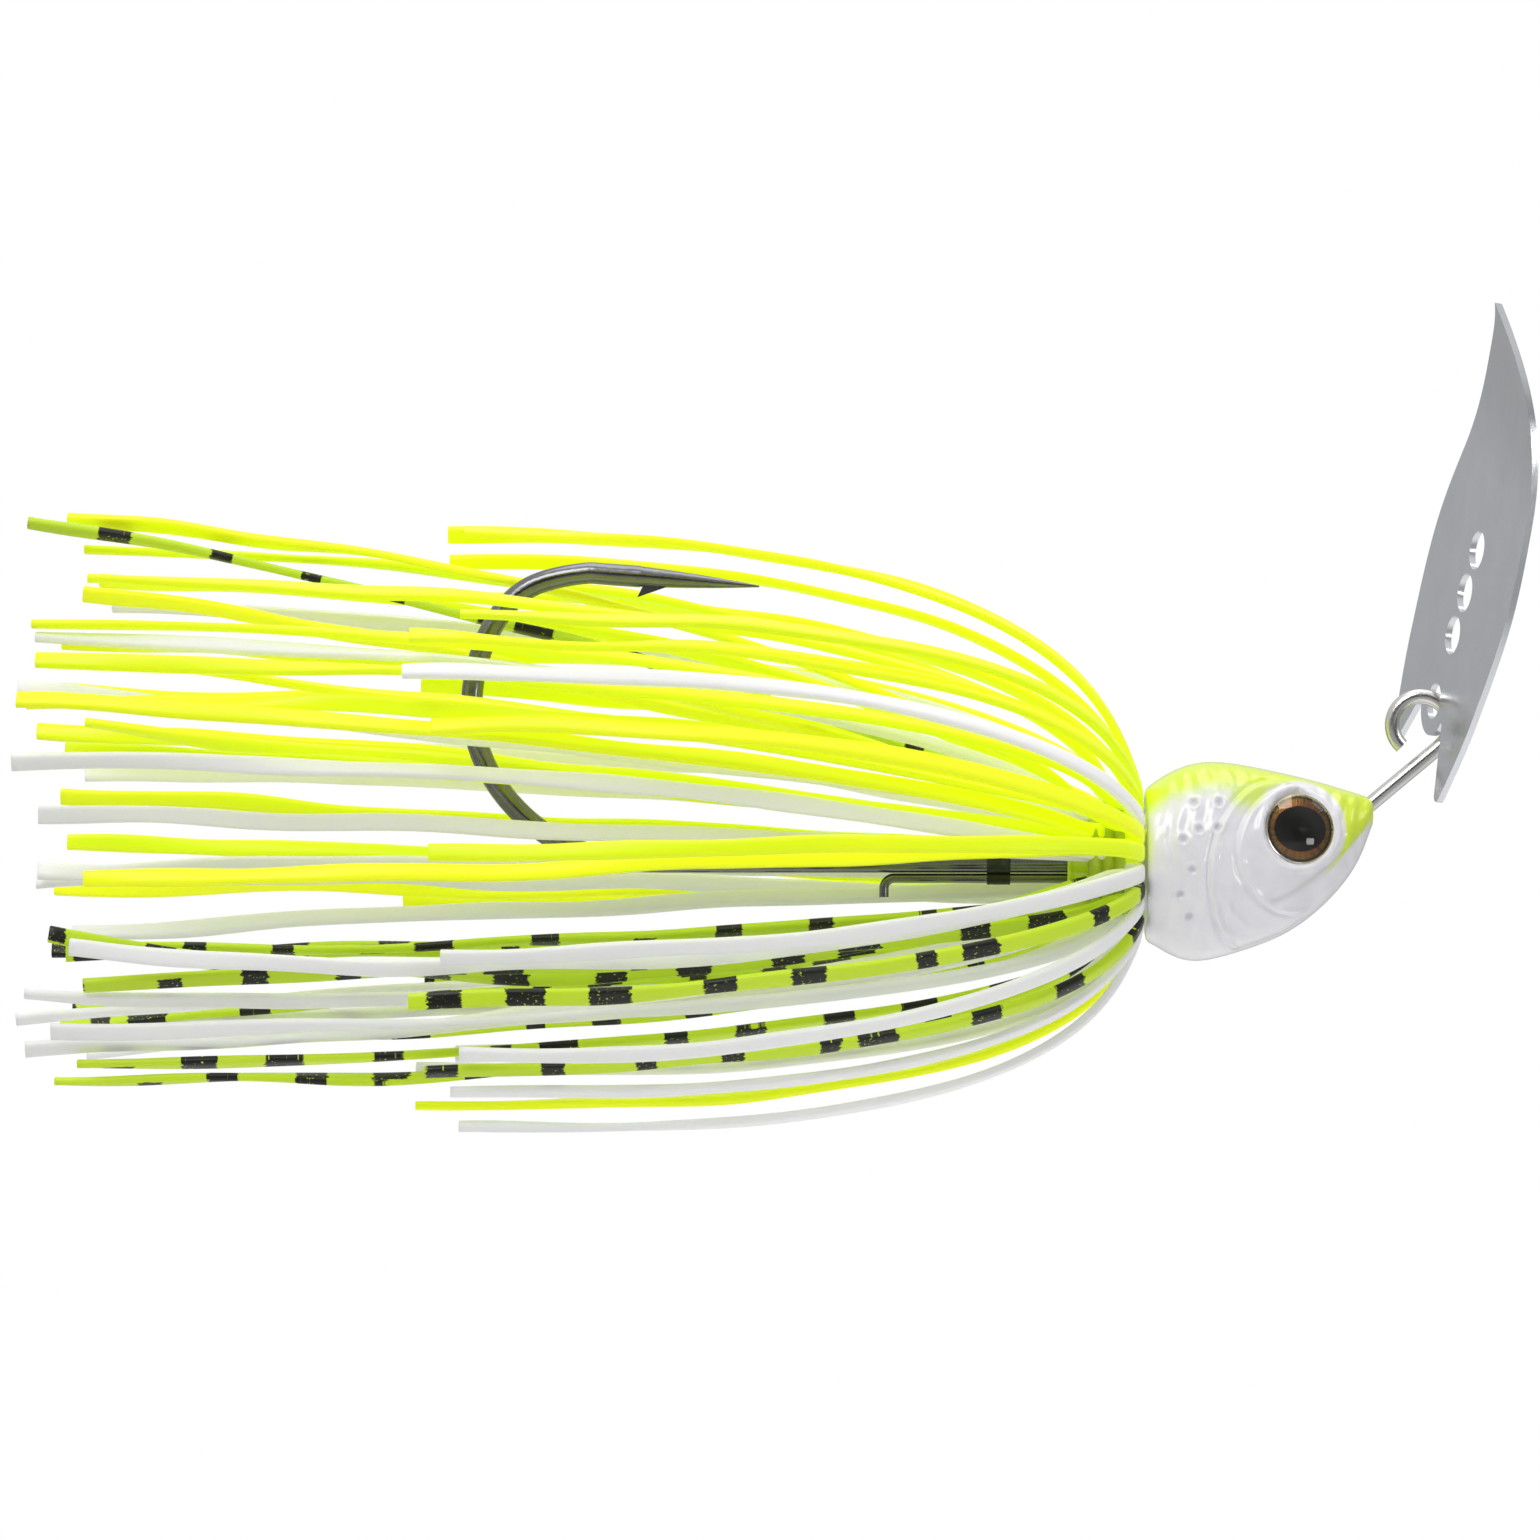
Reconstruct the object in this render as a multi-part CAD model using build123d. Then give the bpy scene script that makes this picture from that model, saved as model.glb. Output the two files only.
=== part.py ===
"""A bladed jig: a cast minnow head on a hook, a swinging blade in front and a silicone skirt behind.

Frame: millimetres. +X points to the nose, +Z to the side of the hook point, and -Y is the lure's right side.
The origin is where the hook's shank leaves the flat rear face of the head, which is where the skirt's
collar is seated.
"""

from build123d import *

import math
import os
import random

import numpy as np

# ---------------------------------------------------------------- driving sizes

# Head: stations from the rear face to the nose as (x, top z, bottom z, half width)
HEAD_STATIONS = [
    (0.0, 5.0, -5.6, 4.5),
    (2.2, 6.4, -6.6, 4.95),
    (4.6, 6.9, -6.7, 5.1),
    (7.2, 6.6, -5.95, 5.0),
    (9.8, 6.05, -4.85, 4.55),
    (12.0, 5.5, -3.25, 3.75),
    (13.7, 5.0, -1.45, 2.85),
    (15.0, 4.6, 0.75, 1.8),
    (15.7, 4.35, 2.6, 0.85),
]
HEAD_EDGE_ROUND = 0.6
BARREL_RADIUS = 1.9
BARREL_LENGTH = 5.4
BARREL_RIDGE = 0.2

# Eyes: a foil disc in a socket under a clear domed lens, one on each side
EYE_X, EYE_Z = 10.35, 2.25
EYE_LEAN_FORWARD, EYE_LEAN_UP = 14.0, 9.0
EYE_SEAT_FROM_AXIS = 3.65
SOCKET_RADIUS = 2.45
DISC_RADIUS, DISC_THICKNESS = 2.35, 0.15
LENS_RADIUS, LENS_RIM, LENS_CROWN = 2.35, 0.45, 0.45

# Hook: round wire with a ground point
HOOK_WIRE = 0.75
HOOK_FRONT_X = 7.0
HOOK_EYE_RADIUS, HOOK_EYE_WIRE = 1.5, 0.68
HOOK_SHANK_END = (-33.0, 0.0)
# The bend as (x, z), from behind the shank to where the ground point starts
HOOK_BEND = [
    (-40.6, 1.5),
    (-45.7, 7.2),
    (-46.4, 11.4),
    (-44.9, 16.4),
    (-42.2, 19.05),
    (-38.6, 19.9),
    (-34.8, 19.68),
]
HOOK_ARM_SLOPE = -0.06
HOOK_POINT = (-26.6, 19.0)
HOOK_POINT_RADIUS = 0.06
NEEDLE_OVERLAP = 0.5
NEEDLE_INSET = 0.02
NEEDLE_HALFWAY_SHARE = 0.62
BARB_START, BARB_SUNK, BARB_REACH_BACK = 0.4, 0.2, 0.5
BARB_LENGTH, BARB_HEIGHT, BARB_THICKNESS = 2.3, 1.25, 0.5

# Wire loop in front of the nose, which carries the blade
LOOP_WIRE = 0.525
LOOP_CENTRE = (19.03, 9.45)
LOOP_RADIUS = 1.97
LOOP_SHAFT_ANGLE = 39.8
LOOP_SHAFT_LENGTH = 11.2
LOOP_OPEN_END = 228.0

# Keeper wire under the shank, with a sleeve that binds it to the hook
KEEPER_WIRE = 0.33
KEEPER_Z = -1.12
KEEPER_FRONT_X, KEEPER_REAR_X = 6.0, -18.0
KEEPER_CORNER = 0.7
KEEPER_DROP = 1.3
SLEEVE_FRONT_X, SLEEVE_REAR_X = -9.3, -10.9
SLEEVE_WALL = 0.12

# Blade: a flat plate of pressed steel whose tip third curls back
BLADE_THICKNESS = 0.45
BLADE_HOLE_RADIUS = 1.25
BLADE_HOLE_FROM_FOOT = 5.3
BLADE_LENGTH = 34.5
BLADE_WIDEST_HALF = 8.6
# One side of the flat pattern, as (distance from the centreline, height above the foot)
BLADE_SIDE = [(0, 34.5), (4.6, 29.1), (7.35, 21.7), (BLADE_WIDEST_HALF, 15.0), (7.9, 8.4), (5.7, 0.4)]
BLADE_SIDE_ENDS = [(0.9, -1), (-0.36, -1)]
BLADE_LOBE = [(5.7, 0.4), (5.2, 0), (4.7, 0.35)]
NOTCH_TOP = (2.55, 4.6)
TAB_RADIUS = 2.4
TAB_ANGLES = (-16, -53, -90)
BLADE_CURL_FROM = 21.5
BLADE_CURL_RADIUS = 25.0
LINE_HOLE_RADIUS = 1.35
LINE_HOLES_FROM_HOLE = (5.0, 8.2, 11.4)
BLADE_ON_LOOP_ANGLE = 56.0
BLADE_UP = (0.230, -0.363, 0.901)
BLADE_TO_NEAR_EDGE = (0.206, -0.890, -0.411)

# Skirt: a rubber collar on the barrel, and flat silicone strands in four layers
COLLAR_FRONT_X, COLLAR_REAR_X = -1.4, -4.0
COLLAR_RADIUS = 4.3
COLLAR_ROUND = 0.35
STRAND_WIDTH, STRAND_THICKNESS = 1.05, 0.6
STRAND_CLEARANCE = 0.08
HOOK_CLEARANCE = 0.15
SKIRT_HALF_HEIGHT = 21.0
LEAST_SPREAD = 0.15

# How the strands vary, and how their clearances are tested
HEIGHT_VARIES, TIP_VARIES = 0.3, 0.4
SPREAD_VARIES = (0.85, 1.1)
STRAND_SEED = 11
MOST_TRIES = 400
TRIES_TO_DOUBLE = 30
STRAND_SAMPLE, STRAND_LEVEL = 0.8, 0.6
FINE_SAMPLES = 400
HOOK_STEPS, NEEDLE_STEPS, KEEPER_STEPS = 120, 12, 60

# Windows in x and z which the right side's strands leave open: over the hook's arm and the keeper
OPEN_WINDOWS = [(-43.5, -26.6, 17.9, 21.0), (-18.8, -9.0, -2.9, 0.0)]

# Each layer: where its strands start, how they bow out (x, and share of the way to the tip's height),
# how much that varies, and how far the ring of their tips spreads sideways about a middle height.
# Then the strands of each side from top to bottom, as colour and tip height: y is chartreuse, w is
# white and b is barred. A bar parts the four tufts, from the top one to the bottom one.
LAYERS = {
    "outer": {
        "root": (-0.75, 4.9),
        "bow": ((-2.5, 0.70), (-20.0, 1.00)),
        "vary": 0.05,
        "drift": 0.8,
        "length": (46.5, 52.5),
        "spread": 13.0,
        "middle": 2.5,
        "right": "y22.5 y16.6 y15.4 | w12.8 y9.4 y0.4 | w-6.0 b-9.7 w-12.8 | b-14.0 w-15.6 w-18.2",
        "left": "y23.0 y21.0 y18.4 | y14.3 y12.3 w7.5 | y-3.0 b-8.0 w-9.6 | w-13.4 w-14.8 y-16.8",
    },
    "second": {
        "root": (-2.6, 5.0),
        "bow": ((-4.0, 0.45), (-28.0, 0.95)),
        "vary": 0.06,
        "drift": 1.1,
        "length": (71.5, 76.5),
        "spread": 12.0,
        "middle": 3.5,
        "right": "y19.5 y13.8 | y11.2 y-1.2 | w-5.0 b-8.2 | w-11.5 b-13.6",
        "left": "y21.5 w17.5 | y12.0 w6.0 | y-1.5 b-6.5 | w-11.0 b-15.2",
    },
    "middle": {
        "root": (-4.4, 4.05),
        "bow": ((-9.0, 0.40), (-33.0, 0.90)),
        "vary": 0.08,
        "drift": 1.4,
        "length": (72.5, 77.4),
        "spread": 10.5,
        "middle": 5.0,
        "right": "y16.6 w15.2 | y10.8 w6.6 | b-4.5 | w-8.5 w-12.8",
        "left": "y23.0 y19.7 | y15.3 y9.5 | y1.4 w-1.2 | b-10.3 b-12.0",
    },
    "inner": {
        "root": (-4.4, 3.15),
        "bow": ((-10.0, 0.25), (-36.0, 0.66)),
        "vary": 0.08,
        "drift": 1.4,
        "length": (73.0, 77.8),
        "spread": 7.0,
        "middle": 4.0,
        "right": "y14.2 w11.9 | y8.0 w3.4 | | b-6.2 w-10.6",
        "left": "b24.0 y18.9 | y9.7 y4.6 | w-0.4 w-5.2 | b-11.0 w-13.0",
    },
}
COLOURS = {"y": "chartreuse", "w": "white", "b": "barred"}
TUFT_SECTORS = {"top": (45, 90), "upper": (0, 45), "lower": (-45, 0), "bottom": (-90, -45)}
TUFT_FILL = 0.94  # share of its sector a tuft's roots are spread over
SIDES = {"right": -1, "left": 1}

# Each tuft flares as one, about a line across the collar's edge at the middle of its sector
TUFT_HINGE_X, TUFT_HINGE_RADIUS = -1.0, 4.3
TUFT_FLARE_STEPS = (0, 2, 4, 6, 8, 10, 12)


# ---------------------------------------------------------------- head and hardware


def head_body():
    """The cast head: an oval loft from the rear face to the nose, with a barrel for the collar."""
    sections = []
    for x, top, bottom, half_width in HEAD_STATIONS:
        plane = Plane(origin=(x, 0, (top + bottom) / 2), x_dir=(0, 1, 0), z_dir=(1, 0, 0))
        sections.append(plane * Ellipse(half_width, (top - bottom) / 2))
    casting = loft(sections)
    casting = fillet(casting.edges().sort_by(Axis.X)[0], HEAD_EDGE_ROUND)
    ridge_x = -BARREL_LENGTH + 2 * BARREL_RIDGE
    outline = Polyline(
        (0.5, 0),
        (0.5, BARREL_RADIUS),
        (ridge_x - BARREL_RIDGE, BARREL_RADIUS),
        (ridge_x - BARREL_RIDGE, BARREL_RADIUS + BARREL_RIDGE),
        (-BARREL_LENGTH, BARREL_RADIUS),
        (-BARREL_LENGTH, 0),
        close=True,
    )
    barrel = revolve(make_face(outline), Axis.X)
    return casting + barrel


def eye_plane(side):
    """The plane of an eye's seat: its z axis points out of the head."""
    lean, up = math.radians(EYE_LEAN_FORWARD), math.radians(EYE_LEAN_UP)
    outward = Vector(math.sin(lean), side * math.cos(lean) * math.cos(up), math.sin(up))
    return Plane(origin=(EYE_X, side * EYE_SEAT_FROM_AXIS, EYE_Z), x_dir=(1, 0, 0), z_dir=outward)


def eye_socket(side):
    return extrude(eye_plane(side) * Circle(SOCKET_RADIUS), 3.0)


def eye_disc(side):
    return extrude(eye_plane(side) * Circle(DISC_RADIUS), DISC_THICKNESS)


def eye_lens(side):
    """A clear button: a short straight rim with a domed crown."""
    base = DISC_THICKNESS + 0.01
    ball_radius = (LENS_RADIUS**2 + LENS_CROWN**2) / (2 * LENS_CROWN)
    ball = Pos(0, 0, base + LENS_RIM + LENS_CROWN - ball_radius) * Sphere(ball_radius)
    button = extrude(Pos(0, 0, base) * Circle(LENS_RADIUS), LENS_RIM + 2 * LENS_CROWN)
    return eye_plane(side).location * (button & ball)


def side_point(x, z):
    """A point in the lure's middle plane."""
    return Vector(x, 0, z)


def hook_path():
    """The hook's centreline from the shank's front end round the bend to the start of the point."""
    shank_end = side_point(*HOOK_SHANK_END)
    shank = Line(side_point(HOOK_FRONT_X, 0), shank_end)
    turns = [side_point(*place) for place in HOOK_BEND]
    bend = Spline(shank_end, *turns, tangents=[(-1, 0, 0), (1, 0, HOOK_ARM_SLOPE)])
    return Wire([shank, bend])


def hook():
    """The hook with its cast-in eye, ground point and barb."""
    path = hook_path()
    start = Plane(origin=path @ 0, z_dir=path % 0)
    wire = sweep(start * Circle(HOOK_WIRE), path)
    arm_end, point = side_point(*HOOK_BEND[-1]), side_point(*HOOK_POINT)
    along = (point - arm_end).normalized()
    length = (point - arm_end).length
    foot = Plane(origin=arm_end, x_dir=(0, 1, 0), z_dir=along)
    needle = loft(
        [
            foot.offset(-NEEDLE_OVERLAP) * Circle(HOOK_WIRE - NEEDLE_INSET),
            foot.offset(length / 2) * Circle(HOOK_WIRE * NEEDLE_HALFWAY_SHARE),
            foot.offset(length) * Circle(HOOK_POINT_RADIUS),
        ]
    )
    below = Vector(along.Z, 0, -along.X)
    base = arm_end + along * BARB_START + below * BARB_SUNK
    barb_edge = Polyline(
        base,
        base + along * BARB_LENGTH,
        base - along * BARB_REACH_BACK + below * BARB_HEIGHT,
        close=True,
    )
    barb = extrude(make_face(barb_edge), BARB_THICKNESS / 2, dir=(0, 1, 0), both=True)
    eye = Torus(HOOK_EYE_RADIUS, HOOK_EYE_WIRE)
    eye = Pos(HOOK_FRONT_X + HOOK_EYE_RADIUS, 0, 0) * Rot(90, 0, 0) * eye
    return wire + needle + barb + eye


def loop_angle_point(angle):
    """The point of the loop's centreline at an angle, counted from +X towards +Z."""
    a = math.radians(angle)
    return side_point(
        LOOP_CENTRE[0] + LOOP_RADIUS * math.cos(a), LOOP_CENTRE[1] + LOOP_RADIUS * math.sin(a)
    )


def blade_loop():
    """The bright wire loop: a straight shaft out of the nose that turns into an open ring."""
    lean = math.radians(LOOP_SHAFT_ANGLE)
    joint = loop_angle_point(LOOP_SHAFT_ANGLE - 90)
    foot = joint - Vector(math.cos(lean), 0, math.sin(lean)) * LOOP_SHAFT_LENGTH
    turn = LOOP_OPEN_END - (LOOP_SHAFT_ANGLE - 90)
    ring = ThreePointArc(
        joint, loop_angle_point(LOOP_SHAFT_ANGLE - 90 + turn / 2), loop_angle_point(LOOP_OPEN_END)
    )
    path = Wire([Line(foot, joint), ring])
    return sweep(Plane(origin=foot, z_dir=joint - foot) * Circle(LOOP_WIRE), path)


def keeper_path():
    corner = side_point(KEEPER_REAR_X, KEEPER_Z)
    return FilletPolyline(
        side_point(KEEPER_FRONT_X, KEEPER_Z),
        corner,
        corner - Vector(0, 0, KEEPER_DROP),
        radius=KEEPER_CORNER,
    )


def keeper_wire():
    path = keeper_path()
    return sweep(Plane(origin=path @ 0, z_dir=path % 0) * Circle(KEEPER_WIRE), path)


def keeper_sleeve():
    """A shrunk sleeve round the shank and the keeper wire together."""
    length = SLEEVE_FRONT_X - SLEEVE_REAR_X
    plane = Plane(origin=(SLEEVE_REAR_X, 0, 0), x_dir=(0, 1, 0), z_dir=(1, 0, 0))
    bores = Circle(HOOK_WIRE) + Pos(0, KEEPER_Z) * Circle(KEEPER_WIRE)
    wraps = Circle(HOOK_WIRE + SLEEVE_WALL) + Pos(0, KEEPER_Z) * Circle(KEEPER_WIRE + SLEEVE_WALL)
    return extrude(plane * (wraps - bores), length)


# ---------------------------------------------------------------- blade


def blade_plane():
    """The blade's own plane at its hole: x to the near edge, y to the tip, z out of the rear face."""
    up = Vector(*BLADE_UP).normalized()
    near = Vector(*BLADE_TO_NEAR_EDGE)
    near = (near - up * near.dot(up)).normalized()
    return Plane(origin=loop_angle_point(BLADE_ON_LOOP_ANGLE), x_dir=near, z_dir=near.cross(up))


def pattern_points(places):
    """Points of the flat pattern, moved from heights above the foot to heights above the hole."""
    return [(across, up - BLADE_HOLE_FROM_FOOT) for across, up in places]


def blade_outline():
    """One half of the flat pattern, a leaf with foot lobes and a tab, from the tip to the tab's foot."""
    angles = [math.radians(angle) for angle in TAB_ANGLES]
    tab = [(TAB_RADIUS * math.cos(angle), TAB_RADIUS * math.sin(angle)) for angle in angles]
    lobe = pattern_points(BLADE_LOBE)
    notch_top = pattern_points([NOTCH_TOP])[0]
    return [
        Spline(*pattern_points(BLADE_SIDE), tangents=BLADE_SIDE_ENDS),
        ThreePointArc(*lobe),
        Line(lobe[-1], notch_top),
        Line(notch_top, tab[0]),
        ThreePointArc(*tab),
    ]


def curled_strip():
    """The plate seen edge on, as a face in the YZ plane: straight from the foot, then curling to +Z."""
    start = -BLADE_HOLE_FROM_FOOT - 1.0
    bend = -BLADE_HOLE_FROM_FOOT + BLADE_CURL_FROM
    half = BLADE_THICKNESS / 2
    curl = math.asin((BLADE_LENGTH - BLADE_CURL_FROM + 1.0) / BLADE_CURL_RADIUS)

    def on_curl(height, share):
        radius = BLADE_CURL_RADIUS - height
        angle = curl * share
        return bend + radius * math.sin(angle), BLADE_CURL_RADIUS - radius * math.cos(angle)

    outline = [
        Line((start, -half), (bend, -half)),
        ThreePointArc(on_curl(-half, 0), on_curl(-half, 0.5), on_curl(-half, 1)),
        Line(on_curl(-half, 1), on_curl(half, 1)),
        ThreePointArc(on_curl(half, 1), on_curl(half, 0.5), on_curl(half, 0)),
        Line((bend, half), (start, half)),
        Line((start, half), (start, -half)),
    ]
    return Plane.YZ * make_face(Wire(outline))


def blade():
    """The pressed plate in place on the loop: flat pattern, curled tip, holes."""
    side = blade_outline()
    half = make_face(Wire(side + [Line(side[-1] @ 1, side[0] @ 0)]))
    cutter = extrude(half, BLADE_LENGTH / 2, both=True)
    sheet = extrude(curled_strip(), BLADE_WIDEST_HALF + 1, both=True)
    plate = sheet & (cutter + mirror(cutter, Plane.YZ))
    plate -= Cylinder(BLADE_HOLE_RADIUS, 4 * BLADE_THICKNESS)
    for y in LINE_HOLES_FROM_HOLE:
        plate -= Pos(0, y, 0) * Cylinder(LINE_HOLE_RADIUS, 4 * BLADE_THICKNESS)
    return blade_plane().location * plate


# ---------------------------------------------------------------- skirt


def skirt_collar():
    """The rubber band with the clamped middles of the strands, as one ring on the barrel."""
    length = COLLAR_FRONT_X - COLLAR_REAR_X
    plane = Plane(origin=(COLLAR_REAR_X, 0, 0), x_dir=(0, 1, 0), z_dir=(1, 0, 0))
    ring = extrude(plane * (Circle(COLLAR_RADIUS) - Circle(BARREL_RADIUS)), length)
    return fillet(ring.edges().filter_by(GeomType.CIRCLE).group_by(SortBy.RADIUS)[-1], COLLAR_ROUND)


def tuft_hinge(side, sector):
    """A tuft's hinge: a point and a unit axis. Turning positively about it flares the tuft outward."""
    middle = math.radians(sum(TUFT_SECTORS[sector]) / 2)
    outward = np.array([0, side * math.cos(middle), math.sin(middle)])
    point = outward * TUFT_HINGE_RADIUS + [TUFT_HINGE_X, 0, 0]
    return point, np.cross(outward, [1, 0, 0])


def turn_matrix(axis, degrees):
    x, y, z = axis
    angle = math.radians(degrees)
    cross = np.array([[0, -z, y], [z, 0, -x], [-y, x, 0]])
    return np.eye(3) + math.sin(angle) * cross + (1 - math.cos(angle)) * cross @ cross


class Strand:
    """One tail of the skirt: a cubic curve from the collar to the tip, and its place in the skirt."""

    def __init__(self, side, sector, turn, colour, control):
        self.side, self.sector, self.turn = side, sector, turn
        self.colour, self.control = colour, control
        self.tuft = f"{'right' if side < 0 else 'left'}_{sector}"
        points, along = sampled(control)
        round_ring = np.array([0, -side * math.sin(turn), math.cos(turn)])
        across = round_ring - along * (along @ round_ring)[:, None]
        across /= np.linalg.norm(across, axis=1)[:, None]
        self.first_across = across[0]
        self.poses = self.flared(points, (across, np.cross(across, along), along))

    def flared(self, points, directions):
        """The strand's points and directions at each step of its tuft's flare."""
        hinge, axis = tuft_hinge(self.side, self.sector)
        poses = []
        for degrees in TUFT_FLARE_STEPS:
            turned = turn_matrix(axis, degrees).T
            poses.append(((points - hinge) @ turned + hinge, [d @ turned for d in directions]))
        return poses

    def solid(self):
        path = Edge.make_bezier(*[Vector(*p) for p in self.control])
        start = Plane(origin=path @ 0, x_dir=Vector(*self.first_across), z_dir=path % 0)
        return sweep(start * Rectangle(STRAND_WIDTH, STRAND_THICKNESS), path)


def sampled(control):
    """Points at even distances along a cubic curve, and the unit directions there."""
    p = np.array(control, float)
    t = np.linspace(0, 1, FINE_SAMPLES)[:, None]
    s = 1 - t
    fine = s**3 * p[0] + 3 * s**2 * t * p[1] + 3 * s * t**2 * p[2] + t**3 * p[3]
    run = np.r_[0, np.cumsum(np.linalg.norm(np.diff(fine, axis=0), axis=1))]
    places = np.arange(0, run[-1], STRAND_SAMPLE)
    points = np.stack([np.interp(places, run, fine[:, k]) for k in range(3)], axis=1)
    along = np.gradient(points, axis=0)
    return points, along / np.linalg.norm(along, axis=1)[:, None]


def poses_touch(first, second):
    """Whether two strands come closer than their sections allow, seen in either strand's own frame."""
    points, others = first[0], second[0]
    reach = STRAND_WIDTH + STRAND_SAMPLE
    apart = np.maximum(points.min(0) - others.max(0), others.min(0) - points.max(0))
    if apart.max() > reach:
        return False
    gaps = others[None] - points[:, None]
    close = (gaps**2).sum(2) < reach**2
    if not close.any():
        return False
    rows = np.nonzero(close)
    near = gaps[close]
    for (_, (across, outward, along)), places in zip((first, second), rows):
        beside = np.abs((near * across[places]).sum(1)) < STRAND_WIDTH + STRAND_CLEARANCE
        above = np.abs((near * outward[places]).sum(1)) < STRAND_THICKNESS + STRAND_CLEARANCE
        level = np.abs((near * along[places]).sum(1)) < STRAND_LEVEL
        if (beside & above & level).any():
            return True
    return False


def clear_of(strand, other):
    """Whether two strands stay apart at rest, while either one's tuft flares, and with both flared."""
    if strand.tuft == other.tuft:
        return not poses_touch(strand.poses[0], other.poses[0])
    steps = range(1, len(TUFT_FLARE_STEPS))
    pairs = [(0, 0), (-1, -1)] + [(k, 0) for k in steps] + [(0, k) for k in steps]
    return not any(poses_touch(strand.poses[i], other.poses[j]) for i, j in pairs)


def points_along(path, steps):
    return [tuple(path @ (i / steps)) for i in range(steps + 1)]


def hardware_lines():
    """Points along the hook and the keeper, each with the distance a strand keeps from them."""
    half = math.hypot(STRAND_WIDTH, STRAND_THICKNESS) / 2 + STRAND_CLEARANCE
    hook_wire, keeper = hook_path(), keeper_path()
    arm_end, point = side_point(*HOOK_BEND[-1]), side_point(*HOOK_POINT)
    needle = Line(arm_end, point)
    hook_points = points_along(hook_wire, HOOK_STEPS) + points_along(needle, NEEDLE_STEPS)
    keeper_points = points_along(keeper, KEEPER_STEPS)
    return [
        (np.array(hook_points), HOOK_WIRE + half + HOOK_CLEARANCE),
        (np.array(keeper_points), KEEPER_WIRE + half),
    ]


def clear_of_lines(strand, lines):
    """Whether a strand keeps its distance from the hardware at every step of its tuft's flare."""
    for points, _ in strand.poses:
        for line, gap in lines:
            if (((points[:, None] - line[None]) ** 2).sum(2) < gap**2).any():
                return False
    return True


def in_open_window(strand):
    """Whether a strand of the right side crosses a place that is left open there."""
    points = strand.poses[0][0]
    x, z = points[:, 0], points[:, 2]
    crossed = [
        ((x > rear) & (x < front) & (z > low) & (z < high)).any()
        for rear, front, low, high in OPEN_WINDOWS
    ]
    return strand.side < 0 and any(crossed)


def root_places(row):
    """Where a row's strands start: (sector, angle above the horizontal, colour, tip height) for each."""
    places = []
    for (sector, (low, high)), words in zip(TUFT_SECTORS.items(), row.split("|")):
        words = words.split()
        step = TUFT_FILL * (high - low) / max(1, len(words))
        first = (high + low + (len(words) - 1) * step) / 2
        for i, word in enumerate(words):
            places.append((sector, math.radians(first - i * step), word[0], float(word[1:])))
    return places


def varied_strand(spec, side, place, attempt, chance):
    """One candidate path: the layer's bow with small random changes that grow with each attempt."""
    loose = 1 + attempt / TRIES_TO_DOUBLE
    sector, turn, colour, height = place
    height += chance.uniform(-HEIGHT_VARIES, HEIGHT_VARIES) * loose
    reach = max(LEAST_SPREAD, 1 - ((height - spec["middle"]) / SKIRT_HALF_HEIGHT) ** 2)
    sideways = side * spec["spread"] * math.sqrt(reach) * chance.uniform(*SPREAD_VARIES)
    outward = np.array([0, side * math.cos(turn), math.sin(turn)])
    root_x, root_radius = spec["root"]
    root = outward * root_radius
    sideways += chance.uniform(-TIP_VARIES, TIP_VARIES) * loose
    tip = np.array([0, sideways, height])
    (near_x, near_share), (far_x, far_share) = spec["bow"]
    near_share += chance.uniform(-1, 1) * spec["vary"] * loose
    far_share += chance.uniform(-1, 1) * spec["vary"] * loose
    drift = np.array([0, chance.uniform(-1, 1), chance.uniform(-1, 1)]) * spec["drift"] * loose
    control = [
        root + [root_x, 0, 0],
        root + outward * np.linalg.norm(tip - root) * near_share + [near_x, 0, 0],
        root + (tip - root) * far_share + [far_x, 0, 0] + drift,
        tip + [-chance.uniform(*spec["length"]), 0, 0],
    ]
    return Strand(side, sector, turn, colour, control)


def clear_strand(spec, side, place, laid, lines, chance):
    """The first of a strand's varied paths that is clear of the hardware and of every strand laid."""
    for attempt in range(MOST_TRIES):
        strand = varied_strand(spec, side, place, attempt, chance)
        if in_open_window(strand) or not clear_of_lines(strand, lines):
            continue
        if all(clear_of(strand, other) for other in reversed(laid)):
            return strand
    raise ValueError(f"no clear path for the strand at {place}")


def lay_strands():
    """Place every strand of the skirt, layer by layer from the outside in."""
    chance = random.Random(STRAND_SEED)
    lines = hardware_lines()
    laid = []
    for spec in LAYERS.values():
        for side_name, side in SIDES.items():
            for place in root_places(spec[side_name]):
                laid.append(clear_strand(spec, side, place, laid, lines, chance))
    return laid


def tufts():
    """The strands' solids, grouped by tuft and colour, as {node name: [solids]}."""
    groups = {}
    for strand in lay_strands():
        name = f"{strand.tuft}_{COLOURS[strand.colour]}_strands"
        groups.setdefault(name, []).append(strand.solid())
    return groups


# ---------------------------------------------------------------- parts


def build():
    wires = {"hook": hook(), "blade_loop": blade_loop(), "keeper_wire": keeper_wire()}
    head = head_body()
    for solid in wires.values():
        head -= solid
    for side in SIDES.values():
        head -= eye_socket(side)
    parts = {"head_casting": head, **wires}
    parts["keeper_sleeve"] = keeper_sleeve()
    for name, side in SIDES.items():
        parts[f"eye_disc_{name}"] = eye_disc(side)
        parts[f"eye_lens_{name}"] = eye_lens(side)
    parts["skirt_collar"] = skirt_collar()
    parts["blade"] = blade()
    parts.update({name: Compound(solids) for name, solids in tufts().items()})
    return parts


if __name__ == "__main__":
    os.makedirs("parts", exist_ok=True)
    for name, shape in build().items():
        export_step(shape, f"parts/{name}.step")
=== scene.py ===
"""Looks of the bladed jig: painted head, eyes, metal, rubber and silicone skirt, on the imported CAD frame."""

import math
import random

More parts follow.
